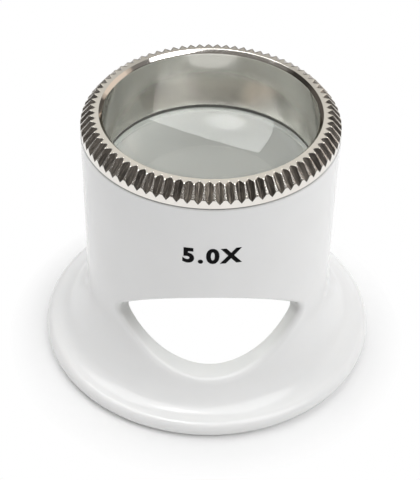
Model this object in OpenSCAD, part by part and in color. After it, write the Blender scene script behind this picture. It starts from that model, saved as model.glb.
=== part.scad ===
// Watchmaker's eye loupe standing on its eye flange, optical axis along +Z, window towards -Y.
// A moulded shell with a wide eye flange and a side window holds a biconvex lens on a ledge.
// A knurled metal ring with a deep plain bore screws into the top and presses a thin washer
// on the lens. All sizes are in millimetres.

/* [Shell] */
// Outer radius of the straight barrel
barrel_r = 16; // [13:0.5:20]
// Wall of the barrel between the eye flange and the lens ledge
wall = 2; // [1.6:0.1:2.4]
// Wall left round the threaded bore
thread_wall = 0.95; // [0.8:0.05:1.3]
// Wall round the lens pocket
pocket_wall = 2.08; // [1.8:0.02:2.4]
// Height of the shell's top rim above the resting face
shell_h = 32.28; // [30:0.01:40]
// Depth of the rounded corner on the outside of the top rim
rim_edge = 0.12; // [0.05:0.01:0.3]

/* [Eye flange] */
// Outermost radius of the eye flange
flange_r = 21.9; // [20.5:0.1:26]
// Radius of the rounded flange edge
flange_edge_r = 1.07; // [0.8:0.05:1.4]
// Height where the straight barrel starts to flare
flare_top = 9.3; // [7.5:0.1:11]
// Share of the flare's width taken by its tighter lower curve
flare_share = 0.667; // [0.5:0.01:0.8]
// Width of the flat resting face under the flange
foot_w = 0.73; // [0.4:0.05:1.2]

/* [Window] */
// Height of the window's centre
window_z = 11.87; // [11:0.01:14]
// Width of the eye-shaped window, tip to tip
window_w = 22.5; // [14:0.1:24]
// Height of the eye-shaped window
window_h = 12.84; // [8:0.01:14]

/* [Lens] */
// Curvature radius of both lens faces
lens_curve = 50; // [40:1:80]
// Thickness of the lens at its edge
lens_edge = 1.3; // [1:0.1:2]
// Width of the ledge that carries the lens
ledge_w = 1.1; // [0.8:0.1:1.5]
// Thickness of the ledge
ledge_h = 1.3; // [1:0.1:2]
// Radial play of the lens in its pocket
lens_play = 0.12; // [0.05:0.01:0.2]

/* [Washer] */
// Thickness of the thin washer on the lens
washer_h = 0.35; // [0.25:0.05:0.6]
// Width of the washer's ring
washer_w = 0.5; // [0.4:0.05:0.6]

/* [Knurled ring] */
// Height from the shell's rim to the top of the ring
ring_rise = 2.72; // [2.2:0.01:3.5]
// Slit between the ring's collar and the shell's rim
ring_slit = 0.1; // [0.05:0.01:0.2]
// How far the ring's collar stays inside the barrel's outline
ring_inset = 0.05; // [0.02:0.01:0.15]
// Wall of the ring's screwed part
ring_wall = 1.75; // [1.6:0.05:2.2]
// Chamfer at the mouth of the bore
bore_chamfer = 0.42; // [0.2:0.01:0.5]
// Depth of the bore from the ring's top to its foot
bore_depth = 8.48; // [7.8:0.02:9.4]
// Radial running clearance of the screwed part
thread_play = 0.05; // [0.03:0.01:0.1]
// Axial clearance under the ring's foot inside the shell
foot_gap = 0.5; // [0.3:0.1:0.8]

/* [Knurling] */
// Number of grooves round the ring
knurl_count = 80; // [60:1:90]
// Angle of the first groove, turned from +X towards the back
knurl_turn = 2.65; // [0:0.05:4.45]
// Radial width of the sloping shoulder that carries the grooves
shoulder_w = 1.16; // [0.9:0.02:1.3]
// Height of the sloping shoulder
shoulder_h = 1.45; // [1.2:0.01:1.6]
// Distance the groove bottoms run into the flat top
groove_run_top = 0.66; // [0.5:0.01:0.7]
// Distance the groove bottoms run below the shoulder
groove_run_low = 0.59; // [0.5:0.01:0.8]
// Half of the opening angle of a groove
groove_half_angle = 48; // [42:1:49]

/* [Hidden] */
$fn = 96;
lens_fn = 720;
eps = 0.01;
cut = 5;
// Radii, all counted inwards from the barrel
hollow_r = barrel_r - wall;
pocket_r = barrel_r - pocket_wall;
lens_r = pocket_r - lens_play;
ledge_r = hollow_r - ledge_w;
thread_bore_r = barrel_r - thread_wall;
thread_r = thread_bore_r - thread_play;
bore_r = thread_r - ring_wall;
collar_r = barrel_r - ring_inset;
// Vertical chain from the ring down to the lens
ring_top = shell_h + ring_rise;
collar_z = shell_h + ring_slit;
foot_z = ring_top - bore_depth;
washer_z = foot_z - washer_h;
washer_in_r = bore_r + eps;
washer_out_r = washer_in_r + washer_w;
// Lens position: its upper face meets the washer's inner lower edge
sag_washer = lens_curve - sqrt(pow(lens_curve, 2) - pow(washer_in_r, 2));
sag_edge = lens_curve - sqrt(pow(lens_curve, 2) - pow(lens_r, 2));
lens_top = washer_z - eps + sag_washer;
lens_bottom = lens_top - 2 * sag_edge - lens_edge;
// Ledge position: its inner upper edge meets the lower lens face
sag_ledge = lens_curve - sqrt(pow(lens_curve, 2) - pow(ledge_r, 2));
ledge_top = lens_bottom + sag_ledge - eps;
shoulder_z = foot_z - foot_gap;
// Flange and flare section
edge_c = flange_r - flange_edge_r;
brim_z = 2 * flange_edge_r;
flare_w = edge_c - barrel_r;
flare_h = flare_top - brim_z;
flare_r2 = flare_share * flare_w;
flare_r1 = (pow(flare_w, 2) + pow(flare_h, 2) - 2 * flare_h * flare_r2) / (2 * (flare_w - flare_r2));
arc1 = [barrel_r + flare_r1, flare_top];
arc2 = [edge_c, brim_z + flare_r2];
arc_turn = atan2(arc2[1] - arc1[1], arc2[0] - arc1[0]);
foot_in_r = edge_c - foot_w;
under_r = foot_in_r - hollow_r;
// Window arcs
window_half = window_w / 2;
window_arc = (pow(window_half, 2) + pow(window_h / 2, 2)) / window_h;
window_shift = window_arc - window_h / 2;
// Knurling
crest_top_r = collar_r - shoulder_w;
crest_low_z = ring_top - shoulder_h;
valley_top_r = crest_top_r - groove_run_top;
valley_low_z = crest_low_z - groove_run_low;
valley_run = [collar_r - valley_top_r, valley_low_z - ring_top];
valley_len = norm(valley_run);
valley_tilt = atan2(-valley_run[1], valley_run[0]);
groove_h = 1.2;
groove_half_w = groove_h * tan(groove_half_angle);

// Air beside the flare: two arcs tangent to each other, to the barrel and to the brim
module flare_air() {
  translate(arc2) circle(r = flare_r2);
  intersection() {
    translate(arc1) circle(r = flare_r1);
    translate(arc1) rotate(arc_turn) translate([0, -2 * flare_r1]) square([2 * flare_r1, 2 * flare_r1]);
  }
}

// Half section of the shell's outside, filled to the axis
module outside_section() {
  difference() {
    square([edge_c, flare_top]);
    flare_air();
  }
  translate([0, flare_top - eps]) square([barrel_r, shell_h - flare_top + eps - rim_edge]);
  translate([0, shell_h - rim_edge - eps]) square([barrel_r - rim_edge, rim_edge + eps]);
  translate([barrel_r - rim_edge, shell_h - rim_edge]) circle(r = rim_edge);
  translate([edge_c, flange_edge_r]) circle(r = flange_edge_r);
}

module body_shell() {
  color([0.93, 0.93, 0.92])
  difference() {
    rotate_extrude() outside_section();
    // Thread bore, lens pocket, ledge hole and lower hollow
    translate([0, 0, shoulder_z]) cylinder(r = thread_bore_r, h = cut + ring_top - shoulder_z);
    translate([0, 0, ledge_top]) cylinder(r = pocket_r, h = shoulder_z - ledge_top + eps);
    translate([0, 0, ledge_top - ledge_h - eps]) cylinder(r = ledge_r, h = ledge_h + 2 * eps);
    translate([0, 0, under_r]) cylinder(r = hollow_r, h = ledge_top - ledge_h - under_r);
    // Rounded mouth under the eye flange
    rotate_extrude()
    difference() {
      translate([0, -cut]) square([foot_in_r, under_r + cut + eps]);
      translate([foot_in_r, under_r]) circle(r = under_r);
    }
    window_cut();
  }
}

// Eye-shaped window through the front wall: the overlap of two level cylinders
module window_cut() {
  intersection() {
    translate([0, 0, window_z + window_shift]) rotate([90, 0, 0]) cylinder(r = window_arc, h = 2 * barrel_r);
    translate([0, 0, window_z - window_shift]) rotate([90, 0, 0]) cylinder(r = window_arc, h = 2 * barrel_r);
  }
}

module lens() {
  color([0.85, 0.93, 0.92, 0.5])
  rotate_extrude()
  intersection() {
    translate([0, lens_top - lens_curve]) circle(r = lens_curve, $fn = lens_fn);
    translate([0, lens_bottom + lens_curve]) circle(r = lens_curve, $fn = lens_fn);
    translate([0, lens_bottom]) square([lens_r, lens_top - lens_bottom]);
  }
}

module seat_washer() {
  color([0.12, 0.12, 0.13])
  difference() {
    translate([0, 0, washer_z]) cylinder(r = washer_out_r, h = washer_h);
    translate([0, 0, washer_z - cut]) cylinder(r = washer_in_r, h = washer_h + 2 * cut);
  }
}

// One groove of the knurling, lying on its bottom line
module groove() {
  translate([valley_top_r, 0, ring_top])
  rotate([0, valley_tilt, 0])
  translate([-valley_len, 0, 0])
  rotate([90, 0, 90])
  linear_extrude(height = 3 * valley_len)
  polygon([[0, 0], [groove_half_w, groove_h], [-groove_half_w, groove_h]]);
}

module clamp_ring() {
  color([0.75, 0.74, 0.71])
  difference() {
    union() {
      translate([0, 0, collar_z]) cylinder(r = collar_r, h = crest_low_z - collar_z);
      translate([0, 0, crest_low_z]) cylinder(r1 = collar_r, r2 = crest_top_r, h = shoulder_h);
      translate([0, 0, foot_z]) cylinder(r = thread_r, h = ring_top - foot_z);
    }
    translate([0, 0, foot_z - cut]) cylinder(r = bore_r, h = bore_depth + 2 * cut);
    translate([0, 0, ring_top - bore_chamfer])
    cylinder(r1 = bore_r, r2 = bore_r + bore_chamfer, h = bore_chamfer + eps);
    for (i = [0 : knurl_count - 1]) rotate(knurl_turn + i * 360 / knurl_count) groove();
  }
}

body_shell();
lens();
seat_washer();
clamp_ring();
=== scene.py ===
"""Looks of a watchmaker's eye loupe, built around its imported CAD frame.

The white shell, the knurled ring and the lens are own meshes that stand for their CAD nodes, and
the printed figures are a mesh of their own. The washer keeps its CAD mesh. Sizes are in
millimetres and become metres in new_mesh(), make_figures() and the studio's functions.
"""

import math

import bmesh
import bpy
import numpy as np
from mathutils import Matrix, Vector


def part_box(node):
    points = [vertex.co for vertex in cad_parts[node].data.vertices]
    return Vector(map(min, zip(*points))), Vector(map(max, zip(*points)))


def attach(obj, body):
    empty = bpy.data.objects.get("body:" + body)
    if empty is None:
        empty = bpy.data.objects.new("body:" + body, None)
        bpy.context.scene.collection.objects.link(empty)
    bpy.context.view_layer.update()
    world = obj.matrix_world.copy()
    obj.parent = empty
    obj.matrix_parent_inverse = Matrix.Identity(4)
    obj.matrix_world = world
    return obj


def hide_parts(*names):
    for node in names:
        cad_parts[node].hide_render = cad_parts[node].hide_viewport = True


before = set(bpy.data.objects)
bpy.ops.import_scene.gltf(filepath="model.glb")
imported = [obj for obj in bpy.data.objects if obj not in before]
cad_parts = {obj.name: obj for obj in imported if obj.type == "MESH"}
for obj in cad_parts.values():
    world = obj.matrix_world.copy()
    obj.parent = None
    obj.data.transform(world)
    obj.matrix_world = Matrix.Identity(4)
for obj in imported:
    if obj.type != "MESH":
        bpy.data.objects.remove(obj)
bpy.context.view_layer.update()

MM = 0.001
TURN = 2 * math.pi
FRONT = -math.pi / 2


def node_box(name):
    """Greatest radius, lowest and highest point of a CAD node, in millimetres."""
    low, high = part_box(name)
    return high.x / MM, low.z / MM, high.z / MM


# ---- Sizes taken from the frame ----
FLANGE_R, _, SHELL_TOP = node_box("body_shell")
COLLAR_R, RING_FOOT, RING_TOP = node_box("clamp_ring")
LENS_R, LENS_LOW, LENS_HIGH = node_box("lens")

# ---- The shell, as in the CAD source ----
BARREL_R = 16.0
HOLLOW_R = 14.0
HOLLOW_EDGE = 0.2
POCKET_R = 13.92
LEDGE_R = 12.9
LEDGE_H = 1.3
LEDGE_EDGE = 0.1
LEDGE_GRIP = 0.01
THREAD_BORE_R = 15.05
THREAD_MOUTH = 0.1
SHOULDER_Z = RING_FOOT - 0.5
RIM_EDGE = 0.12
EDGE_R = 1.07
FLARE_TOP = 9.3
FLARE_SHARE = 0.667
FOOT_W = 0.73

# ---- The window: two arcs meeting at blunt tips, cut radially through the wall ----
WINDOW_Z = 11.87
WINDOW_HALF_W = 10.95
WINDOW_HALF_H = 6.42
WINDOW_R = 15.0
WINDOW_UPPER_TIP_R = 2.4
WINDOW_LOWER_TIP_R = 1.6
WINDOW_OUT_EDGE = 0.7
WINDOW_IN_EDGE = 0.12

# ---- The ring ----
SCREW_R = 15.0
SCREW_EDGE = 0.1
FOOT_EDGE = 0.15
BORE_R = 13.25
BORE_CHAMFER = 0.42
BORE_EDGE = 0.03
BORE_EDGE_RISE = 0.02
CHAMFER_BEND = 3.0
CHAMFER_LIP = 0.009
COLLAR_Z = SHELL_TOP + 0.1
COLLAR_EDGE = 0.06
COLLAR_UNDER = 0.25

# ---- The knurling ----
GROOVES = 80
GROOVE_TURN = math.radians(2.645)
GROOVE_SLOPE = math.tan(math.radians(48))
GROOVE_SOFT = 0.012
GROOVE_BOTTOM = 0.03
GROOVE_REACH = 0.05
CREST_TOP_R = COLLAR_R - 1.16
CREST_LOW_Z = RING_TOP - 1.45
VALLEY_TOP_R = CREST_TOP_R - 0.66
VALLEY_LOW_Z = CREST_LOW_Z - 0.59
LAND_R = VALLEY_TOP_R - 0.08
LAND_JOINT = 0.15
# The knurled side from the land down to the collar's edge: radius, height and rows of each stretch
KNURL_SECTION = (
    (CREST_TOP_R - 0.025, RING_TOP, 10),
    (CREST_TOP_R + 0.02, RING_TOP - 0.035, 3),
    (COLLAR_R - 0.03, CREST_LOW_Z + 0.05, 14),
    (COLLAR_R, CREST_LOW_Z - 0.04, 3),
    (COLLAR_R, VALLEY_LOW_Z - 0.1, 10),
    (COLLAR_R, COLLAR_Z + COLLAR_EDGE, 2),
)

# ---- The screw thread, whose pitch is the joint's own lead ----
PITCH = 0.75
THREAD_DEPTH = 0.3
THREAD_RUN_OUT = 0.3
SHELL_THREAD = SHOULDER_Z + 0.4, SHELL_TOP - 0.25
RING_THREAD = RING_FOOT + 0.3, COLLAR_Z - 0.5

# ---- The lens ----
LENS_CURVE = 50.0
LENS_BEVEL = 0.08

# ---- The printed figures ----
FIGURES = "5.0X"
FIGURES_Z = 25.32
FIGURES_W = 7.1
FIGURES_H = 2.35
FIGURES_SPACING = 1.25
FIGURES_WEIGHT = 0.045
INK = 0.02
INK_UNDER = 0.005

# ---- How fine the meshes are ----
SHELL_COLUMNS = 288
WINDOW_COLUMNS = 46
WINDOW_ROWS = 26
WINDOW_CROWDING = 1.35
WINDOW_SPREAD = (0.06, 0.15, 0.27, 0.42, 0.6, 0.8)
THREAD_ROWS = 80
GROOVE_IN_STEPS = (0, 0.16, 0.4, 0.65, 0.88)
GROOVE_OUT_STEPS = (0, 0.12, 0.55, 1.0)
GROOVE_SHARES = (0.12, 0.95)
PLAIN_PER_GROOVE = 4
LENS_COLUMNS = 256
LENS_RINGS = 48
FIGURES_SLICES = 32
SHARP = 35
RING_SHARP = 28


# ---- Mesh helpers ----


def link(name, data):
    """A new object in the scene."""
    obj = bpy.data.objects.new(name, data)
    bpy.context.scene.collection.objects.link(obj)
    return obj


def new_mesh(name, points, faces, sharp=SHARP):
    """A smooth shaded object from points in millimetres. Edges above the sharp angle stay sharp."""
    mesh = bpy.data.meshes.new(name)
    mesh.from_pydata((np.asarray(points) * MM).tolist(), [], faces)
    work = bmesh.new()
    work.from_mesh(mesh)
    bmesh.ops.delete(work, geom=[v for v in work.verts if not v.link_faces], context="VERTS")
    bmesh.ops.recalc_face_normals(work, faces=work.faces)
    work.to_mesh(mesh)
    work.free()
    mesh.shade_smooth()
    mesh.set_sharp_from_angle(angle=math.radians(sharp))
    return link(name, mesh)


def polar(radius, angle, height):
    """Points in space from arrays of radius, angle and height."""
    radius, angle, height = np.broadcast_arrays(radius, angle, height)
    return np.stack([radius * np.cos(angle), radius * np.sin(angle), height], axis=-1)


def arc(centre, radius, start, end, count):
    """Profile points on an arc from start to end, in degrees, without the first point."""
    turn = np.radians(np.linspace(start, end, count + 1)[1:])
    return [(centre[0] + radius * math.cos(a), centre[1] + radius * math.sin(a)) for a in turn]


def line(start, end, count):
    """Profile points on a straight line, without the first point."""
    return [tuple(p) for p in np.linspace(start, end, count + 1)[1:]]


def bowed(start, end, bend, count):
    """Profile points on an arc of bend degrees that bulges to the left, without the first."""
    half = math.radians(bend / 2)
    chord = np.subtract(end, start)
    across = np.array([-chord[1], chord[0]])
    turn = np.linspace(-half, half, count + 1)[1:, None]
    along = (np.sin(turn) / math.sin(half) + 1) / 2
    rise = (np.cos(turn) - math.cos(half)) / (2 * math.sin(half))
    return [tuple(p) for p in start + along * chord + rise * across]


def strip(first, second):
    """Quads between two closed loops of vertex numbers of equal length."""
    count = len(first)
    return [
        (first[k], first[(k + 1) % count], second[(k + 1) % count], second[k])
        for k in range(count)
    ]


def bands(first, rows, columns):
    """Quads between neighbouring closed rows of vertices, numbered on from first."""
    faces = []
    for row in range(rows - 1):
        start = first + row * columns
        end = start + columns
        faces += strip(range(start, end), range(end, end + columns))
    return faces


def thread_cut(angle, height, low, high):
    """Depth of the thread: none on its crest, none past low and high, and all of it at its root."""
    wave = 0.5 - 0.5 * np.cos(TURN * (height / PITCH - angle / TURN))
    root = np.clip(1.5 * wave - 0.25, 0, 1)
    fade_low = np.clip((height - low) / THREAD_RUN_OUT, 0, 1)
    fade_high = np.clip((high - height) / THREAD_RUN_OUT, 0, 1)
    return THREAD_DEPTH * root * (fade_low * fade_high)


# ---- The shell ----

BRIM_Z = 2 * EDGE_R
EDGE_C = FLANGE_R - EDGE_R
FLARE_W = EDGE_C - BARREL_R
FLARE_H = FLARE_TOP - BRIM_Z
FLARE_LOW_R = FLARE_SHARE * FLARE_W
FLARE_HIGH_R = (FLARE_W**2 + FLARE_H**2 - 2 * FLARE_H * FLARE_LOW_R) / (2 * (FLARE_W - FLARE_LOW_R))
FLARE_HIGH_C = (BARREL_R + FLARE_HIGH_R, FLARE_TOP)
FLARE_LOW_C = (EDGE_C, BRIM_Z + FLARE_LOW_R)
FLARE_TURN = math.degrees(
    math.atan2(FLARE_LOW_C[1] - FLARE_HIGH_C[1], FLARE_LOW_C[0] - FLARE_HIGH_C[0])
)
FOOT_IN_R = EDGE_C - FOOT_W
UNDER_R = FOOT_IN_R - HOLLOW_R
LEDGE_TOP = LENS_LOW + LENS_CURVE - math.sqrt(LENS_CURVE**2 - LEDGE_R**2) - LEDGE_GRIP
LEDGE_LOW = LEDGE_TOP - LEDGE_H
# The patch of the wall that holds the window's frame, level with it on both sides
PATCH_LOW = 4.0
PATCH_HIGH = 2 * WINDOW_Z - PATCH_LOW
PATCH_Z = np.linspace(PATCH_LOW, PATCH_HIGH, WINDOW_ROWS + 1)


def outer_r(z):
    """Radius of the shell's outside above the brim."""
    drop = np.clip(FLARE_TOP - z, 0, None)
    return FLARE_HIGH_C[0] - np.sqrt(FLARE_HIGH_R**2 - drop**2)


def inner_r(z):
    """Radius of the shell's hollow below the ledge."""
    drop = np.clip(UNDER_R - z, 0, None)
    return FOOT_IN_R - np.sqrt(UNDER_R**2 - drop**2)


def shell_profile():
    """The closed section of the shell, and its first outer and first inner row of the patch."""
    rows = [(FOOT_IN_R, 0.0)]
    rows += line(rows[-1], (EDGE_C, 0.0), 2)
    rows += arc((EDGE_C, EDGE_R), EDGE_R, -90, 90, 22)
    rows += arc(FLARE_LOW_C, FLARE_LOW_R, -90, FLARE_TURN, 14)
    rows += [(float(outer_r(z)), z) for z in np.linspace(rows[-1][1], PATCH_LOW, 4)[1:-1]]
    outer_start = len(rows)
    rows += [(float(outer_r(z)), float(z)) for z in PATCH_Z]
    rows += line(rows[-1], (BARREL_R, SHELL_TOP - RIM_EDGE), 10)
    rows += arc((BARREL_R - RIM_EDGE, SHELL_TOP - RIM_EDGE), RIM_EDGE, 0, 90, 5)
    rows += line(rows[-1], (THREAD_BORE_R + THREAD_MOUTH, SHELL_TOP), 2)
    rows += line(rows[-1], (THREAD_BORE_R, SHELL_TOP - THREAD_MOUTH), 1)
    rows += line(rows[-1], (THREAD_BORE_R, SHOULDER_Z), THREAD_ROWS)
    rows += line(rows[-1], (POCKET_R, SHOULDER_Z), 2)
    rows += line(rows[-1], (POCKET_R, LEDGE_TOP), 3)
    edge_c = LEDGE_R + LEDGE_EDGE
    rows += line(rows[-1], (edge_c, LEDGE_TOP), 2)
    rows += arc((edge_c, LEDGE_TOP - LEDGE_EDGE), LEDGE_EDGE, 90, 180, 3)
    rows += line(rows[-1], (LEDGE_R, LEDGE_LOW + LEDGE_EDGE), 2)
    rows += arc((edge_c, LEDGE_LOW + LEDGE_EDGE), LEDGE_EDGE, 180, 270, 3)
    rows += line(rows[-1], (HOLLOW_R - HOLLOW_EDGE, LEDGE_LOW), 2)
    rows += arc((HOLLOW_R - HOLLOW_EDGE, LEDGE_LOW - HOLLOW_EDGE), HOLLOW_EDGE, 90, 0, 4)
    rows += line(rows[-1], (HOLLOW_R, PATCH_HIGH), 4)[:-1]
    inner_start = len(rows)
    rows += [(float(inner_r(z)), float(z)) for z in PATCH_Z[::-1]]
    start = math.degrees(math.atan2(PATCH_LOW - UNDER_R, inner_r(PATCH_LOW) - FOOT_IN_R))
    rows += arc((FOOT_IN_R, UNDER_R), UNDER_R, start % 360, 270, 14)[:-1]
    return rows, outer_start, inner_start


def window_quarter(tip_r):
    """Rows of angle, height and outward normal from the right tip to the top of a window arc."""
    tip_c = WINDOW_HALF_W - tip_r
    arc_r = (tip_c**2 + WINDOW_HALF_H**2 - tip_r**2) / (2 * (WINDOW_HALF_H - tip_r))
    arc_c = arc_r - WINDOW_HALF_H
    tip_turn = math.atan2(arc_c, tip_c)
    tip_len = tip_r * tip_turn
    arc_len = arc_r * (math.pi / 2 - tip_turn)
    count = (2 * WINDOW_COLUMNS + WINDOW_ROWS) // 2
    quarter = []
    for step in range(count + 1):
        run = (tip_len + arc_len) * (step / count) ** WINDOW_CROWDING
        if run < tip_len:
            turn = run / tip_r
            x, z = tip_c + tip_r * math.cos(turn), tip_r * math.sin(turn)
        else:
            turn = tip_turn + (run - tip_len) / arc_r
            x, z = arc_r * math.cos(turn), arc_r * math.sin(turn) - arc_c
        angle = math.asin(x / WINDOW_R)
        across = math.cos(turn), math.sin(turn) / math.cos(angle)
        size = math.hypot(*across)
        quarter.append((angle, z, across[0] / size, across[1] / size))
    return np.array(quarter)


def window_outline():
    """Angles, heights and outward normals of the window's edge, starting at the right tip."""
    upper, lower = (
        np.vstack([quarter, quarter[::-1][1:] * (-1, 1, -1, 1)])
        for quarter in (window_quarter(WINDOW_UPPER_TIP_R), window_quarter(WINDOW_LOWER_TIP_R))
    )
    outline = np.vstack([upper, lower[::-1][1:-1] * (1, -1, 1, -1)])
    return outline[:, 0], WINDOW_Z + outline[:, 1], outline[:, 2], outline[:, 3]


def patch_rim(first_row, rising, columns):
    """Vertex numbers round the patch, in the outline's order: right middle, top, left, bottom."""
    half = WINDOW_ROWS // 2
    right, left = WINDOW_COLUMNS, -WINDOW_COLUMNS
    walk = [(half + k, right) for k in range(half)]
    walk += [(WINDOW_ROWS, right - k) for k in range(2 * WINDOW_COLUMNS)]
    walk += [(WINDOW_ROWS - k, left) for k in range(WINDOW_ROWS)]
    walk += [(0, left + k) for k in range(2 * WINDOW_COLUMNS)]
    walk += [(k, right) for k in range(half)]
    if not rising:
        walk = [(WINDOW_ROWS - row, column) for row, column in walk]
    return [(first_row + row) * columns + column % columns for row, column in walk]


def make_shell():
    """The shell: a turned body with the window's rounded frame worked into its front wall."""
    rows, outer_start, inner_start = shell_profile()
    columns = SHELL_COLUMNS
    angle = FRONT + np.arange(columns) * TURN / columns
    radius = np.array([r for r, _ in rows])[:, None] + np.zeros(columns)
    height = np.array([z for _, z in rows])[:, None] + np.zeros(columns)
    threaded = np.isclose(radius, THREAD_BORE_R) & (height < SHELL_TOP)
    radius = np.where(threaded, radius + thread_cut(angle[None, :], height, *SHELL_THREAD), radius)
    points = [polar(radius, angle[None, :], height).reshape(-1, 3)]

    def inside(row, column):
        near = column < WINDOW_COLUMNS or column >= columns - WINDOW_COLUMNS
        return near and any(s <= row < s + WINDOW_ROWS for s in (outer_start, inner_start))

    faces = []
    for row in range(len(rows)):
        this, following = row * columns, (row + 1) % len(rows) * columns
        for column in range(columns):
            if not inside(row, column):
                beside = (column + 1) % columns
                faces.append((this + column, this + beside, following + beside, following + column))

    # The window's frame: loops from the outer rectangle over both edges to the inner rectangle
    turn, z, side, rise = window_outline()
    outer = patch_rim(outer_start, True, columns)
    inner = patch_rim(inner_start, False, columns)
    rim = points[0][outer]
    rim_turn = np.arctan2(rim[:, 0], -rim[:, 1])
    rim_z = rim[:, 2]

    def loop(offset, depth_share, depth):
        """A loop at an offset from the outline, at a share of the wall and a depth below that."""
        a = turn + offset * side / BARREL_R
        h = z + offset * rise
        outside, hollow = outer_r(h), inner_r(h)
        return polar(outside - depth_share * (outside - hollow) - depth, FRONT + a, h)

    def spread(share, offset, surface_r):
        """A loop between the edge's offset line at share 0 and the rectangle at share 1."""
        a = (1 - share) * (turn + offset * side / BARREL_R) + share * rim_turn
        h = (1 - share) * (z + offset * rise) + share * rim_z
        return polar(surface_r(h), FRONT + a, h)

    loops = [spread(s, WINDOW_OUT_EDGE, outer_r) for s in (*WINDOW_SPREAD[::-1], 0)]
    for a in (math.radians(10 * step) for step in range(1, 10)):
        bent, sunk = 1 - math.sin(a), 1 - math.cos(a)
        loops.append(loop(WINDOW_OUT_EDGE * bent, 0, WINDOW_OUT_EDGE * sunk))
    start, end = loop(0, 0, WINDOW_OUT_EDGE), loop(0, 1, -WINDOW_IN_EDGE)
    loops += [(1 - share) * start + share * end for share in (0.33, 0.66)]
    for a in (math.radians(22.5 * step) for step in range(5)):
        bent, sunk = 1 - math.cos(a), 1 - math.sin(a)
        loops.append(loop(WINDOW_IN_EDGE * bent, 1, -WINDOW_IN_EDGE * sunk))
    loops += [spread(s, WINDOW_IN_EDGE, inner_r) for s in WINDOW_SPREAD]
    number = len(rows) * columns
    previous = outer
    for ring in loops:
        points.append(ring)
        current = range(number, number + len(ring))
        number += len(ring)
        faces += strip(previous, current)
        previous = current
    faces += strip(previous, inner)
    return new_mesh("shell_moulding", np.vstack(points), faces)


# ---- The ring ----


def groove_angles(half_width):
    """Angles of one groove's fine columns at each row, which follow the groove's edges."""
    half_pitch = TURN / GROOVES / 2
    least, most = (share * half_pitch for share in GROOVE_SHARES)
    inner = np.clip(half_width, least, most)[:, None]
    outer = inner + (half_pitch - inner) * np.array(GROOVE_OUT_STEPS)
    right = np.hstack([inner * np.array(GROOVE_IN_STEPS), outer])
    return np.hstack([-right[:, :0:-1], right])[:, 1:]


def cut_groove(profile):
    """Radius, angle, height and depth of one groove's points, by profile row and column.

    The groove is a V round a straight bottom line, and a point above it sinks onto it.
    """
    valley = np.array([COLLAR_R - VALLEY_TOP_R, VALLEY_LOW_Z - RING_TOP])
    valley /= np.linalg.norm(valley)
    out = np.array([-valley[1], valley[0]])
    offset = profile - (VALLEY_TOP_R, RING_TOP)
    above = offset @ out
    local = groove_angles(np.arctan2(np.clip(above, 0, None) * GROOVE_SLOPE, profile[:, 0]))
    across = profile[:, :1] * np.sin(local)
    along = profile[:, :1] * np.cos(local)
    level = (along - VALLEY_TOP_R) * out[0] + offset[:, 1:] * out[1]
    over = level - np.sqrt(across**2 + GROOVE_BOTTOM**2) / GROOVE_SLOPE + GROOVE_SOFT
    sink = 0.5 * (over + np.sqrt(over**2 + GROOVE_SOFT**2)) - 0.1 * GROOVE_SOFT
    sink = np.where(above[:, None] > -GROOVE_REACH, np.clip(sink, 0, None), 0)
    along, height = along - sink * out[0], profile[:, 1:] - sink * out[1]
    return np.hypot(along, across), np.arctan2(across, along), height, sink


def plain_profile():
    """The ring's plain section: underside of the collar, thread, foot, bore, chamfer and land."""
    mouth_r, lip = BORE_R + BORE_CHAMFER, CHAMFER_LIP
    rows = [(COLLAR_R - COLLAR_UNDER, COLLAR_Z)]
    rows += line(rows[-1], (SCREW_R, COLLAR_Z), 2)
    thread_start = len(rows)
    rows += line(rows[-1], (SCREW_R, RING_FOOT + SCREW_EDGE), THREAD_ROWS)
    rows += line(rows[-1], (SCREW_R - SCREW_EDGE, RING_FOOT), 1)
    rows += line(rows[-1], (BORE_R + FOOT_EDGE, RING_FOOT), 2)
    rows += arc((BORE_R + FOOT_EDGE, RING_FOOT + FOOT_EDGE), FOOT_EDGE, 270, 180, 6)
    mouth_z = RING_TOP - BORE_CHAMFER
    rows += line(rows[-1], (BORE_R, mouth_z - BORE_EDGE), 12)
    rows += line(rows[-1], (BORE_R + BORE_EDGE, mouth_z + BORE_EDGE_RISE), 1)
    rows += bowed(rows[-1], (mouth_r - 2 * lip, RING_TOP - 2 * lip), CHAMFER_BEND, 5)
    rows += line(rows[-1], (mouth_r - lip, RING_TOP - lip), 1)
    rows += line(rows[-1], (mouth_r + 0.7 * lip, RING_TOP), 1)
    rows += line(rows[-1], (LAND_R - LAND_JOINT, RING_TOP), 1)
    return np.array(rows), thread_start


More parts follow.
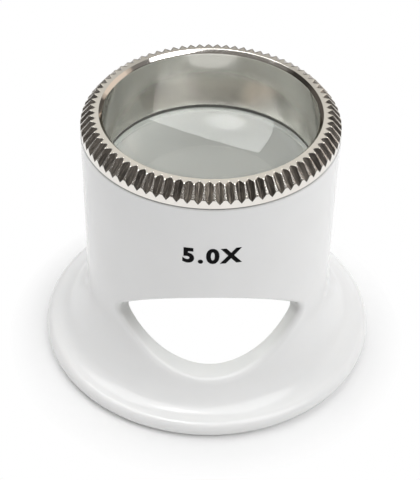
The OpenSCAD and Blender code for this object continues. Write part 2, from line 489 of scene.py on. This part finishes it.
def make_ring():
    """The knurled clamp ring, with its grooves, screw thread and chamfered bore."""
    knurl = [(LAND_R, RING_TOP)]
    for radius, height, count in KNURL_SECTION:
        knurl += line(knurl[-1], (radius, height), count)
    knurl += arc((COLLAR_R - COLLAR_EDGE, COLLAR_Z + COLLAR_EDGE), COLLAR_EDGE, 0, -90, 3)
    profile = np.array(knurl)
    radius, turn, height, sink = cut_groove(profile)
    per_groove = turn.shape[1]
    fine = GROOVES * per_groove
    centres = GROOVE_TURN + np.arange(GROOVES) * TURN / GROOVES
    angle = (centres[None, :, None] + turn[:, None, :]).reshape(len(profile), fine)
    radius, height, sink = (np.tile(values, (1, GROOVES)) for values in (radius, height, sink))
    cut_tone = np.random.default_rng(GROOVES).uniform(0, 1, GROOVES)

    plain, thread_start = plain_profile()
    coarse_turn = angle[0, :: per_groove // PLAIN_PER_GROOVE][None, :]
    coarse = coarse_turn.shape[1]
    plain_r = plain[:, :1] + np.zeros((1, coarse))
    plain_z = plain[:, 1:] + np.zeros((1, coarse))
    is_thread = np.zeros((len(plain), 1), bool)
    is_thread[thread_start : thread_start + THREAD_ROWS] = True
    plain_r = np.where(is_thread, plain_r - thread_cut(coarse_turn, plain_z, *RING_THREAD), plain_r)

    first = len(profile) * fine
    points = [polar(radius, angle, height), polar(plain_r, coarse_turn, plain_z)]
    faces = bands(0, len(profile), fine) + bands(first, len(plain), coarse)

    # Flat joints between fine and coarse columns
    step = fine // coarse
    for fine_row, plain_row in ((len(profile) - 1, 0), (0, len(plain) - 1)):
        for j in range(coarse):
            edge = [fine_row * fine + (j * step + k) % fine for k in range(step + 1)]
            base = first + plain_row * coarse
            faces.append((base + j, *edge, base + (j + 1) % coarse))
    points = np.vstack([part.reshape(-1, 3) for part in points])
    ring = new_mesh("knurled_ring", points, faces, RING_SHARP)

    # How deep each point of a groove lies, and each cut's own tone, for the metal
    tone = np.tile(np.repeat(cut_tone, per_groove), (len(profile), 1))
    for name, values in (("groove_depth", sink), ("groove_tone", tone)):
        kept = ring.data.attributes.new(name, "FLOAT", "POINT")
        spaced = np.concatenate([values.reshape(-1), np.zeros(len(plain) * coarse)])
        kept.data.foreach_set("value", spaced.astype(np.float32))
    return ring


# ---- The lens ----


def make_lens():
    """The biconvex lens with a narrow ground edge."""

    def cap(radius):
        return LENS_CURVE - math.sqrt(LENS_CURVE**2 - radius**2)

    steps = [LENS_R * math.sin(math.pi / 2 * k / LENS_RINGS) for k in range(1, LENS_RINGS)]
    steps.append(LENS_R - LENS_BEVEL)
    top = [(r, LENS_HIGH - cap(r)) for r in steps]
    edge_high, edge_low = LENS_HIGH - cap(LENS_R), LENS_LOW + cap(LENS_R)
    edge = [(LENS_R, edge_high - LENS_BEVEL), (LENS_R, edge_low + LENS_BEVEL)]
    low = [(r, LENS_LOW + cap(r)) for r in reversed(steps)]
    profile = np.array(top + edge + low)
    columns = LENS_COLUMNS
    angle = np.arange(columns) * TURN / columns
    points = polar(profile[:, :1], angle[None, :], profile[:, 1:]).reshape(-1, 3)
    faces = bands(0, len(profile), columns)
    poles = np.array([[0, 0, LENS_HIGH], [0, 0, LENS_LOW]])
    last = (len(profile) - 1) * columns
    for k in range(columns):
        faces.append((len(points), k, (k + 1) % columns))
        faces.append((len(points) + 1, last + (k + 1) % columns, last + k))
    return new_mesh("glass_lens", np.vstack([points, poles]), faces)


# ---- The printed figures ----


def make_figures():
    """A magnification printed on the barrel above the window, bent round it."""
    text = bpy.data.curves.new("figures_text", "FONT")
    text.body = FIGURES
    text.align_x = "CENTER"
    text.align_y = "CENTER"
    text.resolution_u = 6
    text.space_character = FIGURES_SPACING
    text.offset = FIGURES_WEIGHT
    source = link("figures_text", text)
    bpy.context.view_layer.update()
    flat = source.evaluated_get(bpy.context.evaluated_depsgraph_get())
    mesh = bpy.data.meshes.new_from_object(flat)
    bpy.data.objects.remove(source)
    work = bmesh.new()
    work.from_mesh(mesh)
    for layer in work.loops.layers.uv.values():
        work.loops.layers.uv.remove(layer)
    bmesh.ops.remove_doubles(work, verts=work.verts, dist=1e-5)
    low = [min(v.co[k] for v in work.verts) for k in (0, 1)]
    high = [max(v.co[k] for v in work.verts) for k in (0, 1)]
    for v in work.verts:
        v.co.x = ((v.co.x - low[0]) / (high[0] - low[0]) - 0.5) * FIGURES_W
        v.co.y = ((v.co.y - low[1]) / (high[1] - low[1]) - 0.5) * FIGURES_H
        v.co.z = 0
    for k in range(1 - FIGURES_SLICES // 2, FIGURES_SLICES // 2):
        geom = list(work.verts) + list(work.edges) + list(work.faces)
        spot = (k * FIGURES_W / FIGURES_SLICES, 0, 0)
        bmesh.ops.bisect_plane(work, geom=geom, plane_co=spot, plane_no=(1, 0, 0))
    made = bmesh.ops.extrude_face_region(work, geom=list(work.faces))
    for v in made["geom"]:
        if isinstance(v, bmesh.types.BMVert):
            v.co.z = INK
    # The extrusion makes its walls in no fixed order, so everything is put in order of its place
    order = Vector((1, 1e3, 1e6))
    work.verts.sort(key=lambda v: order.dot(v.co))
    work.edges.sort(key=lambda e: order.dot(e.verts[0].co + e.verts[1].co))
    work.faces.sort(key=lambda f: order.dot(f.calc_center_median()))
    for v in work.verts:
        angle = FRONT + v.co.x / BARREL_R
        radius = BARREL_R - INK_UNDER + v.co.z
        v.co = Vector((radius * math.cos(angle), radius * math.sin(angle), FIGURES_Z + v.co.y)) * MM
    bmesh.ops.recalc_face_normals(work, faces=work.faces)
    work.to_mesh(mesh)
    work.free()
    mesh.name = "printed_figures"
    mesh.materials.clear()
    return link("printed_figures", mesh)


# ---- Colours. A pair is the darkest and the lightest that the noise gives. ----
PLASTIC_COLOURS = (0.80, 0.80, 0.795), (0.83, 0.83, 0.828)
# Painted shade on the plastic, under the ring's joint and in the window's corners
PAINTED_SHADE_COLOUR = (0.36, 0.35, 0.33)
NICKEL_COLOURS = (0.78, 0.75, 0.70), (0.83, 0.80, 0.76)
# The cuts' dark end is painted shade in the grooves; the cutter's streaks and each cut's tone pick
# the mix
SHADED_CUT_COLOURS = (0.12, 0.11, 0.10), (0.72, 0.68, 0.63)
BORE_COLOUR = (0.63, 0.618, 0.58)
# Painted shade in the slit between the collar and the shell
SLIT_SHADE_COLOUR = (0.22, 0.21, 0.20)
GLASS_COLOUR = (0.985, 1.0, 0.975, 1)
SHADE_COLOUR = (0.985, 1.0, 0.98, 1)
FIBRE_COLOURS = (0.085, 0.083, 0.08), (0.17, 0.165, 0.155)
INK_COLOURS = (0.002, 0.002, 0.0025), (0.007, 0.007, 0.0075)
TABLE_COLOURS = (0.84, 0.84, 0.84), (0.86, 0.86, 0.86)
WHITE = (1, 1, 1, 1)

# ---- Where the materials change. A pair is where a mask starts and where it is full. ----
# Painted shade on the plastic: at the top rim under the ring's joint, and in the window's corners
RIM_SHADE = 0.4
RIM_SHADE_Z = SHELL_TOP - 0.3, SHELL_TOP - 0.02
# Painted shade in the corners of the window's wall
CORNER_SHADE = 0.3
CORNER_X = 7.5, 10.5
CORNER_OUT_R = BARREL_R - 0.1, BARREL_R - 0.8
CORNER_IN_R = HOLLOW_R + 0.03, HOLLOW_R + 0.2
CORNER_Z = 21.0, 19.0
BORE_SHARE = 0.9
BORE_Z = RING_TOP - 0.45, RING_TOP - 0.7
BORE_OUT_R = BORE_R + 0.6, BORE_R + 0.45
# Where painted shade darkens the collar's lower edge and underside by the slit
SLIT_Z = COLLAR_Z + 0.09, COLLAR_Z + 0.05
SLIT_OUT_R = SCREW_R + 0.1, SCREW_R + 0.2
CUT_DEPTH = 0.02, 0.1
RIB_LOW_Z = CREST_LOW_Z - 0.1, CREST_LOW_Z
RIB_TOP_Z = RING_TOP - 0.01, RING_TOP - 0.06
RIB_DEPTH = 0.12, 0.02
RIB_R = CREST_TOP_R - 0.15, CREST_TOP_R
SMEAR = 0.45, 0.75


# ---- Material helpers ----


def add(tree, kind, settings=None, **inputs):
    """Adds a node, sets its properties, and sets or links its inputs by name, or i and number."""
    made = tree.nodes.new(kind)
    for key, value in (settings or {}).items():
        setattr(made, key, value)
    for key, value in inputs.items():
        numbered = key[0] == "i" and key[1:].isdigit()
        socket = made.inputs[int(key[1:]) if numbered else key.replace("_", " ")]
        if isinstance(value, bpy.types.NodeSocket):
            tree.links.new(value, socket)
        else:
            socket.default_value = value
    return made


def new_material(name):
    """An empty node material and its tree."""
    made = bpy.data.materials.new(name)
    made.use_nodes = True
    made.node_tree.nodes.clear()
    return made, made.node_tree


def surface(tree, shader):
    """Links a shader to the material's output."""
    output = tree.nodes.new("ShaderNodeOutputMaterial")
    tree.links.new(shader.outputs[0], output.inputs["Surface"])


def place(tree):
    """The place on the object, in millimetres."""
    where = add(tree, "ShaderNodeTexCoord").outputs["Object"]
    scaled = add(tree, "ShaderNodeVectorMath", {"operation": "SCALE"}, i0=where, Scale=1 / MM)
    return scaled.outputs[0]


def noise(tree, vector, scale, detail=3.0, roughness=0.5):
    """A noise value with features of about 1/scale millimetres."""
    kind = "ShaderNodeTexNoise"
    made = add(tree, kind, Vector=vector, Scale=scale, Detail=detail, Roughness=roughness)
    return made.outputs["Fac"]


def remap(tree, value, low, high, start=0.0, end=1.0):
    """Maps start..end of a value to low..high, clamped."""
    made = add(tree, "ShaderNodeMapRange", None, Value=value)
    for key, number in (("From Min", start), ("From Max", end), ("To Min", low), ("To Max", high)):
        made.inputs[key].default_value = number
    return made.outputs[0]


def fade_in(tree, value, start, end):
    """0 before start and 1 from end on."""
    return remap(tree, value, 0.0, 1.0, start, end)


def maths(tree, operation, first, second=0.0):
    """A Math node's result."""
    return add(tree, "ShaderNodeMath", {"operation": operation}, i0=first, i1=second).outputs[0]


def times(tree, first, *others):
    """The product of some values."""
    for other in others:
        first = maths(tree, "MULTIPLY", first, other)
    return first


def plus(tree, first, second):
    """The sum of two values."""
    return maths(tree, "ADD", first, second)


def split(tree, vector):
    """The three parts of a vector."""
    return add(tree, "ShaderNodeSeparateXYZ", Vector=vector).outputs


def join(tree, x, y, z):
    """A vector from its three parts."""
    return add(tree, "ShaderNodeCombineXYZ", X=x, Y=y, Z=z).outputs[0]


def off_axis(tree, x, y):
    """The distance from the axis."""
    return maths(tree, "SQRT", plus(tree, times(tree, x, x), times(tree, y, y)))


def blend_colour(tree, share, first, second):
    """A mix of two colours."""
    made = add(tree, "ShaderNodeMix", {"data_type": "RGBA"}, i0=share)
    for socket, value in ((made.inputs[6], first), (made.inputs[7], second)):
        if isinstance(value, bpy.types.NodeSocket):
            tree.links.new(value, socket)
        else:
            socket.default_value = (*value, 1)
    return made.outputs[2]


def bump(tree, height, distance, normal=None):
    """A bump of that height in millimetres, on top of another normal where there is one."""
    made = add(tree, "ShaderNodeBump", Height=height, Distance=distance * MM, Strength=1.0)
    if normal is not None:
        tree.links.new(normal, made.inputs["Normal"])
    return made.outputs[0]


def principled(tree, **inputs):
    """A Principled shader on the material's output."""
    surface(tree, add(tree, "ShaderNodeBsdfPrincipled", **inputs))


def glow(tree, colour, strength):
    """An emission shader."""
    return add(tree, "ShaderNodeEmission", Color=colour, Strength=strength)


def mix_shader(tree, share, first, second):
    """A mix of two shaders."""
    shaders = {"i1": first.outputs[0], "i2": second.outputs[0]}
    return add(tree, "ShaderNodeMixShader", i0=share, **shaders)


# ---- The pieces' materials ----


def plastic_material():
    """White moulded plastic: glossy, faintly wavy and very slightly translucent. Painted shade
    darkens it under the ring's joint and in the window's corners.
    """
    made, tree = new_material("white_plastic")
    here = place(tree)
    x, y, z = split(tree, here)
    radius = off_axis(tree, x, y)
    cloud = noise(tree, here, scale=0.15, detail=2.0)
    grain = noise(tree, here, scale=6.0, detail=4.0)
    # Painted shade in the corners of the window's wall
    in_corner = times(
        tree,
        fade_in(tree, maths(tree, "ABSOLUTE", x), *CORNER_X),
        fade_in(tree, radius, *CORNER_OUT_R),
        fade_in(tree, radius, *CORNER_IN_R),
        fade_in(tree, z, *CORNER_Z),
    )
    # Painted shade at the top rim, under the ring's joint
    at_rim = fade_in(tree, z, *RIM_SHADE_Z)
    painted_shade = plus(tree, times(tree, at_rim, RIM_SHADE), times(tree, in_corner, CORNER_SHADE))
    unshaded = blend_colour(tree, cloud, *PLASTIC_COLOURS)
    uneven = plus(tree, times(tree, cloud, 0.6), times(tree, grain, 0.4))
    wavy = bump(tree, noise(tree, here, scale=0.35, detail=1.0), 0.02)
    principled(
        tree,
        Base_Color=blend_colour(tree, painted_shade, unshaded, PAINTED_SHADE_COLOUR),
        Roughness=remap(tree, uneven, 0.07, 0.14),
        IOR=1.5,
        Specular_IOR_Level=0.2,
        Subsurface_Weight=0.1,
        Subsurface_Radius=(0.0012, 0.0011, 0.001),
        Subsurface_Scale=1.0,
        Normal=bump(tree, grain, 0.0012, wavy),
    )
    return made


def metal_material():
    """Nickel plated steel, turned round the axis, with streaky, rougher cut grooves darkened by
    painted shade, and painted shade by the slit under the collar.
    """
    made, tree = new_material("turned_nickel")
    here = place(tree)
    x, y, z = split(tree, here)
    radius = off_axis(tree, x, y)
    turn = maths(tree, "ARCTAN2", y, x)
    cut = add(tree, "ShaderNodeAttribute", {"attribute_name": "groove_depth"}).outputs["Fac"]
    tone = add(tree, "ShaderNodeAttribute", {"attribute_name": "groove_tone"}).outputs["Fac"]
    deep = fade_in(tree, cut, *CUT_DEPTH)

    # Turning marks run round the axis, and the cutter's streaks run down the grooves
    round_marks = join(tree, times(tree, radius, 6.0), times(tree, z, 6.0), 0.0)
    lines = noise(tree, round_marks, scale=1.0, roughness=0.6)
    down_marks = join(tree, times(tree, turn, 150.0), times(tree, z, 0.8), times(tree, radius, 0.8))
    streaks = noise(tree, down_marks, scale=1.0, roughness=0.6)
    cloud = noise(tree, here, scale=0.5)

    # Colour: plain metal, the bore's, the cuts' with painted shade, and painted shade by the slit
    in_bore = times(tree, fade_in(tree, z, *BORE_Z), fade_in(tree, radius, *BORE_OUT_R))
    # Painted shade on the collar's lower edge and underside by the slit
    painted_slit_shade = times(tree, fade_in(tree, z, *SLIT_Z), fade_in(tree, radius, *SLIT_OUT_R))
    scratched = plus(tree, fade_in(tree, streaks, 0.34, 0.66), times(tree, tone, 0.5))
    # Painted shade in the grooves, streaked by the cutter's marks
    shaded_cuts = blend_colour(tree, fade_in(tree, scratched, 0.2, 1.3), *SHADED_CUT_COLOURS)
    plain = blend_colour(tree, cloud, *NICKEL_COLOURS)
    plain = blend_colour(tree, times(tree, in_bore, BORE_SHARE), plain, BORE_COLOUR)
    colour = blend_colour(tree, deep, plain, shaded_cuts)
    colour = blend_colour(tree, painted_slit_shade, colour, SLIT_SHADE_COLOUR)

    # Roughness
    uneven = plus(tree, times(tree, lines, 0.5), times(tree, cloud, 0.5))
    smooth = plus(tree, remap(tree, uneven, 0.05, 0.1), times(tree, in_bore, 0.09))
    rough = plus(tree, smooth, times(tree, deep, 0.1))

    # Relief: the turning marks, burrs along the ribs, and scores in the cuts
    on_rib = times(
        tree,
        fade_in(tree, z, *RIB_LOW_Z),
        fade_in(tree, z, *RIB_TOP_Z),
        fade_in(tree, cut, *RIB_DEPTH),
        fade_in(tree, radius, *RIB_R),
    )
    marks = bump(tree, lines, 0.0004)
    ragged = noise(tree, here, scale=11.0, roughness=0.7)
    burrs = bump(tree, times(tree, ragged, on_rib), 0.03, marks)
    round_axis = add(tree, "ShaderNodeTangent", {"direction_type": "RADIAL", "axis": "Z"})
    principled(
        tree,
        Base_Color=colour,
        Metallic=1.0,
        Roughness=rough,
        Anisotropic=0.9,
        Anisotropic_Rotation=0.25,
        Normal=bump(tree, times(tree, streaks, deep), 0.006, burrs),
        Tangent=round_axis.outputs[0],
    )
    return made


def glass_material():
    """Clear optical glass with a faint green tint, which lets the lamps' light through."""
    made, tree = new_material("optical_glass")
    smear = noise(tree, place(tree), scale=0.4)
    glass = add(
        tree,
        "ShaderNodeBsdfPrincipled",
        Base_Color=GLASS_COLOUR,
        Roughness=remap(tree, smear, 0.0, 0.03, *SMEAR),
        IOR=1.52,
        Transmission_Weight=1.0,
    )
    clear = add(tree, "ShaderNodeBsdfTransparent", Color=SHADE_COLOUR)
    path = add(tree, "ShaderNodeLightPath").outputs
    passing = maths(tree, "MAXIMUM", path["Is Shadow Ray"], path["Is Diffuse Ray"])
    surface(tree, mix_shader(tree, passing, glass, clear))
    return made


def washer_material():
    """Black fibre washer, matt and slightly fuzzy."""
    made, tree = new_material("black_fibre")
    fibres = noise(tree, place(tree), scale=9.0, detail=4.0, roughness=0.7)
    principled(
        tree,
        Base_Color=blend_colour(tree, fibres, *FIBRE_COLOURS),
        Roughness=remap(tree, fibres, 0.6, 0.85),
        Normal=bump(tree, fibres, 0.01),
    )
    return made


def ink_material():
    """Black printing ink with a little unevenness."""
    made, tree = new_material("black_ink")
    patchy = noise(tree, place(tree), scale=8.0)
    principled(
        tree,
        Base_Color=blend_colour(tree, patchy, *INK_COLOURS),
        Roughness=remap(tree, patchy, 0.35, 0.55),
        Specular_IOR_Level=0.04,
        Normal=bump(tree, patchy, 0.002),
    )
    return made


def dress(obj, material, body=None, node=None):
    """Gives a piece its material, slot, body and the CAD node that it stands for."""
    obj.data.materials.clear()
    obj.data.materials.append(material)
    if node:
        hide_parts(node)
    if body:
        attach(obj, body)


dress(make_shell(), plastic_material(), "shell", "body_shell")
dress(make_ring(), metal_material(), "ring", "clamp_ring")
dress(make_lens(), glass_material(), "shell", "lens")
dress(make_figures(), ink_material(), "shell")
dress(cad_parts["seat_washer"], washer_material())


# ---- The camera, in the photograph's place. The angles turn it off its aim. ----
CAMERA_FAR = 176.964
CAMERA_RISE = math.radians(40.28)
CAMERA_PAN = math.radians(-0.059)
CAMERA_TILT = math.radians(-0.197)
CAMERA_ROLL = math.radians(-1.192)
OBJECT_TURN = math.radians(1.7)
AIM_Z = 15.0
FOCAL_PX = 1350.0
FRAME_H_PX = 480.0
SENSOR = 36.0

# ---- The light. A level is a radiance, as times white. ----
WORLD_LEVEL = 0.21
# Level soft boxes: place and size are shares of their height, and the yaw is in degrees
SOFTBOX_HIGH = 600
SOFTBOX_SIZE = 0.9, 0.8
SOFTBOX_YAW = -34
SOFTBOXES = (
    ("left_softbox", -0.45, 0.25, 2.55),
    ("right_softbox", 0.8, -0.5, 4.35),
    ("back_softbox", 0.0, 0.95, 1.3),
)
# Lamps that face the object: azimuth, rise and level
FILL_FAR = 600
FILL_SIZE = 500, 500
FILLS = (
    ("left_fill", -75, 35, 0.8),
    ("front_fill", 15, 12, 0.44),
    ("right_fill", 125, 35, 1.3),
)
# The shining face that gloss shows: corners and hottest place are shares of its height
SHEET_HIGH = 600.0
SHEET = ((-0.517, 0.662), (-0.887, -0.156), (0.75, -0.81), (1.25, -0.42))
SHEET_LEVEL = 5.8
SHEET_PEAK = 26.0
SHEET_HOT = (-0.156, -0.016)
SHEET_HOT_R = 0.26

# ---- The room that gloss shows: colours, and patches of azimuth, rise, reach and colour ----
ROOM_R = 900.0
ROOM_LOW = (0.10, 0.09, 0.08)
ROOM_FRONT = (0.22, 0.21, 0.20)
ROOM_BACK = (0.80, 0.78, 0.73)
ROOM_BACK_Y = 0.1, 0.6
ROOM_UPPER_RISE = math.radians(29), math.radians(36)
ROOM_PATCHES = (
    (114, 23, 24, (0.86, 0.74, 0.64)),
    (-106, 28, 18, (0.04, 0.037, 0.034)),
)
ROOM_PATCH_CORE = 0.6

# ---- The table: where it shows the lamps' shadow, round a middle a little before the axis ----
TABLE_HALF = 3.0
SHADOW_AHEAD = 1.4
SHADOW_IN_R = 17.5, 18.5
SHADOW_OUT_R = 27.0, 20.8


def make_camera():
    """The photograph's view."""
    spin = Matrix.Rotation(-OBJECT_TURN, 3, "Z")
    away = Vector((0, -math.cos(CAMERA_RISE), math.sin(CAMERA_RISE)))
    ahead, right = -away, Vector((1, 0, 0))
    up = right.cross(ahead)
    pan = Matrix.Rotation(CAMERA_PAN, 3, up)
    ahead, right = pan @ ahead, pan @ right
    tilt = Matrix.Rotation(CAMERA_TILT, 3, right)
    ahead, up = tilt @ ahead, tilt @ up
    roll = Matrix.Rotation(CAMERA_ROLL, 3, ahead)
    right, up = roll @ right, roll @ up
    axes = Matrix((spin @ right, spin @ up, spin @ -ahead)).transposed()
    data = bpy.data.cameras.new("photo_camera")
    data.sensor_width = SENSOR
    data.lens = FOCAL_PX * SENSOR / FRAME_H_PX
    data.clip_start, data.clip_end = 0.01, 10
    camera = link("photo_camera", data)
    spot = (Vector((0, 0, AIM_Z)) + spin @ away * CAMERA_FAR) * MM
    camera.matrix_world = Matrix.Translation(spot) @ axes.to_4x4()
    bpy.context.scene.camera = camera


def seen_directly(tree):
    """1 for rays from the camera, or mirrored or passed by a clear surface, and 0 for others."""
    path = add(tree, "ShaderNodeLightPath").outputs
    shown = maths(tree, "MAXIMUM", path["Is Camera Ray"], path["Is Glossy Ray"])
    return maths(tree, "MAXIMUM", shown, path["Is Transmission Ray"])


def make_world():
    """A surround that is white to look at and lights the object at a plain level."""
    world = bpy.data.worlds.new("studio")
    world.use_nodes = True
    tree = world.node_tree
    tree.nodes.clear()
    strength = remap(tree, seen_directly(tree), WORLD_LEVEL, 1.0)
    shader = add(tree, "ShaderNodeBackground", Color=WHITE, Strength=strength)
    output = tree.nodes.new("ShaderNodeOutputWorld")
    tree.links.new(shader.outputs[0], output.inputs["Surface"])
    bpy.context.scene.world = world


def make_floor():
    """A white table. Near the object it shows the lamps' shadow, elsewhere it is plain white."""
    mesh = bpy.data.meshes.new("floor")
    far = TABLE_HALF
    corners = [(-far, -far, 0), (far, -far, 0), (far, far, 0), (-far, far, 0)]
    mesh.from_pydata(corners, [], [(0, 1, 2, 3)])
    floor = link("floor", mesh)
    made, tree = new_material("white_table")
    here = place(tree)
    x, y, _ = split(tree, here)
    radius = off_axis(tree, x, plus(tree, y, SHADOW_AHEAD))
    paper = blend_colour(tree, noise(tree, here, scale=0.8), *TABLE_COLOURS)
    lit = add(tree, "ShaderNodeBsdfDiffuse", Color=paper)
    near = times(tree, fade_in(tree, radius, *SHADOW_IN_R), fade_in(tree, radius, *SHADOW_OUT_R))
    share = times(tree, maths(tree, "SUBTRACT", 1.0, near), seen_directly(tree))
    surface(tree, mix_shader(tree, share, lit, glow(tree, WHITE, 1.0)))
    mesh.materials.append(made)


def direction(azimuth, rise):
    """The way to a place far from the object. Azimuth 0 is in front and 90 on the right."""
    a, e = math.radians(azimuth), math.radians(rise)
    return Vector((math.sin(a) * math.cos(e), -math.cos(a) * math.cos(e), math.sin(e)))


def make_lamp(name, size, level, spot, turn):
    """A soft box of that size and level at a spot, which gloss and glass don't show."""
    data = bpy.data.lights.new(name, "AREA")
    data.shape = "RECTANGLE"
    data.size, data.size_y = size[0] * MM, size[1] * MM
    data.energy = level * math.pi * data.size * data.size_y
    lamp = link(name, data)
    lamp.matrix_world = Matrix.Translation(spot * MM) @ turn.to_4x4()
    lamp.visible_glossy = lamp.visible_transmission = False


def make_lamps():
    """The level soft boxes over the table, and the lamps that fill the object's shade."""
    high = SOFTBOX_HIGH
    size = [share * high for share in SOFTBOX_SIZE]
    yaw = Matrix.Rotation(math.radians(SOFTBOX_YAW), 3, "Z")
    for name, across, along, level in SOFTBOXES:
        make_lamp(name, size, level, Vector((across * high, along * high, high + AIM_Z)), yaw)
    for name, azimuth, rise, level in FILLS:
        away = direction(azimuth, rise)
        facing = away.to_track_quat("Z", "Y").to_matrix()
        make_lamp(name, FILL_SIZE, level, away * FILL_FAR + Vector((0, 0, AIM_Z)), facing)


def mirrored_only(obj):
    """Makes a studio surface show in gloss and glass alone."""
    obj.visible_camera = obj.visible_diffuse = obj.visible_shadow = False
    obj.visible_volume_scatter = False


def make_sheet():
    """The shining face of a soft box: a level sheet, brightest before its lamp."""
    mesh = bpy.data.meshes.new("softbox_face")
    top = SHEET_HIGH + AIM_Z
    points = [(x * SHEET_HIGH, y * SHEET_HIGH, top) for x, y in SHEET]
    mesh.from_pydata([tuple(c * MM for c in p) for p in points], [], [tuple(range(len(points)))])
    sheet = link("softbox_face", mesh)
    made, tree = new_material("softbox_face")
    off = add(tree, "ShaderNodeVectorMath", {"operation": "DISTANCE"}, i0=place(tree))
    off.inputs[1].default_value = (SHEET_HOT[0] * SHEET_HIGH, SHEET_HOT[1] * SHEET_HIGH, top)
    nearness = remap(tree, off.outputs["Value"], 1.0, 0.0, 0.0, SHEET_HOT_R * SHEET_HIGH)
    strength = remap(tree, maths(tree, "POWER", nearness, 2.0), SHEET_LEVEL, SHEET_PEAK)
    surface(tree, glow(tree, WHITE, strength))
    mesh.materials.append(made)
    mirrored_only(sheet)


def make_room():
    """The room round the table: dim walls, above them a dim front and a pale back, and patches."""
    mesh = bpy.data.meshes.new("room")
    work = bmesh.new()
    bmesh.ops.create_uvsphere(work, u_segments=64, v_segments=32, radius=ROOM_R * MM)
    work.to_mesh(mesh)
    work.free()
    mesh.shade_smooth()
    room = link("room", mesh)
    room.location.z = AIM_Z * MM
    made, tree = new_material("room")
    here = place(tree)
    _, y, z = split(tree, here)
    rise = maths(tree, "ARCSINE", maths(tree, "DIVIDE", z, ROOM_R))
    behind = fade_in(tree, maths(tree, "DIVIDE", y, ROOM_R), *ROOM_BACK_Y)
    upper = blend_colour(tree, behind, ROOM_FRONT, ROOM_BACK)
    colour = blend_colour(tree, fade_in(tree, rise, *ROOM_UPPER_RISE), ROOM_LOW, upper)
    for azimuth, height, reach, patch in ROOM_PATCHES:
        middle = direction(azimuth, height)
        toward = add(tree, "ShaderNodeVectorMath", {"operation": "DOT_PRODUCT"}, i0=here, i1=middle)
        cosine = maths(tree, "DIVIDE", toward.outputs["Value"], ROOM_R)
        edge, core = (math.cos(math.radians(k * reach)) for k in (1, ROOM_PATCH_CORE))
        colour = blend_colour(tree, fade_in(tree, cosine, edge, core), colour, patch)
    surface(tree, glow(tree, colour, 1.0))
    mesh.materials.append(made)
    mirrored_only(room)


make_camera()
make_world()
make_floor()
make_lamps()
make_sheet()
make_room()
scene = bpy.context.scene
scene.view_settings.view_transform = "Standard"
# The lower bore shows light that was mirrored several times inside the lens
scene.cycles.max_bounces = 24
scene.cycles.glossy_bounces = 12
scene.cycles.diffuse_bounces = 8
